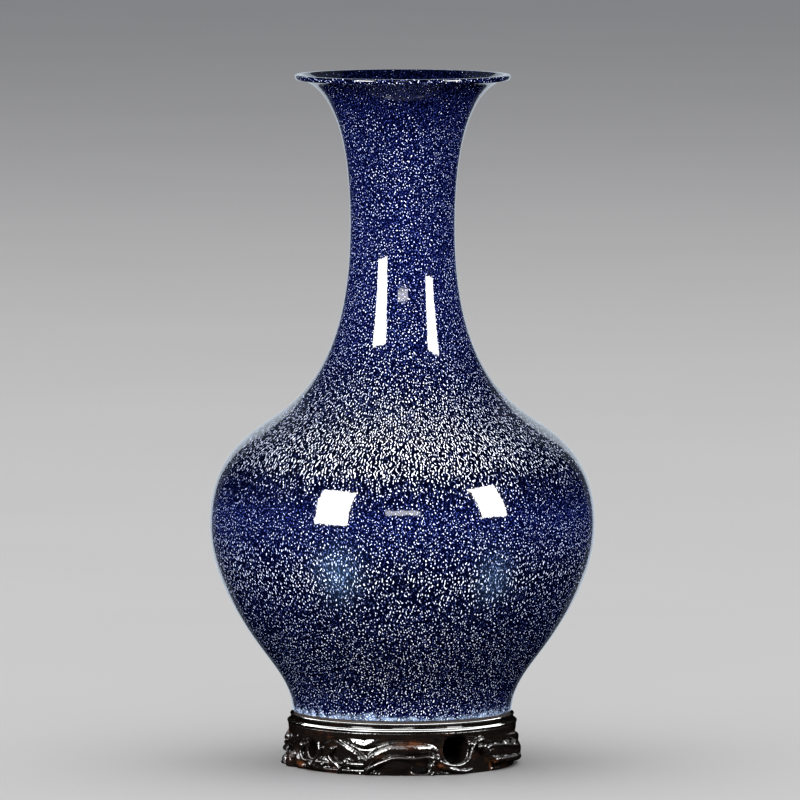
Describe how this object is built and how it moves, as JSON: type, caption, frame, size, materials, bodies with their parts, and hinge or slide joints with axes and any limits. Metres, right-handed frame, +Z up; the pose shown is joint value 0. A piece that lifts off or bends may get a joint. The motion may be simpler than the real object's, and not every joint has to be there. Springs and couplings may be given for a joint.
{
  "type": "porcelain vase on stand",
  "caption": "Porcelain bottle vase with a round belly, slim neck and wide flared mouth, glazed speckled cobalt blue, lifting off a round carved hardwood stand.",
  "frame": {"origin": "centre of the stand's underside, on the table", "axes": "+Z up along the vase's axis of turning, -Y the side that the picture shows, +X to its right"},
  "size_m": [0.2044, 0.2044, 0.3652],
  "materials": {
    "cobalt_glaze": "high gloss, deep cobalt flambe glaze with pale blue and white speckles and streaks",
    "black_rosewood": "dark stained and lacquered, glossy",
    "pale_hardwood": "bare, cut smooth",
    "green_felt": "pressed wool felt, matte"
  },
  "bodies": {
    "stand": {"rim_ring": "black_rosewood", "seat_board": "black_rosewood", "apron_segment_1": "black_rosewood", "apron_segment_2": "black_rosewood", "apron_segment_3": "black_rosewood", "apron_segment_4": "black_rosewood", "apron_segment_5": "black_rosewood", "apron_dowels": "pale_hardwood", "joint_splines": "pale_hardwood"},
    "seat_pad": {"seat_felt": "green_felt"},
    "vase": {"vase": "cobalt_glaze"}
  },
  "joints": [
    {"name": "vase_turn", "type": "hinge", "parent": "stand", "child": "seat_pad", "pos_m": [0, 0, 0.0237], "axis": [0, 0, 1], "continuous": true},
    {"name": "vase_lift", "type": "slide", "parent": "seat_pad", "child": "vase", "axis": [0, 0, 1], "range_m": [0, 0.06]}
  ]
}
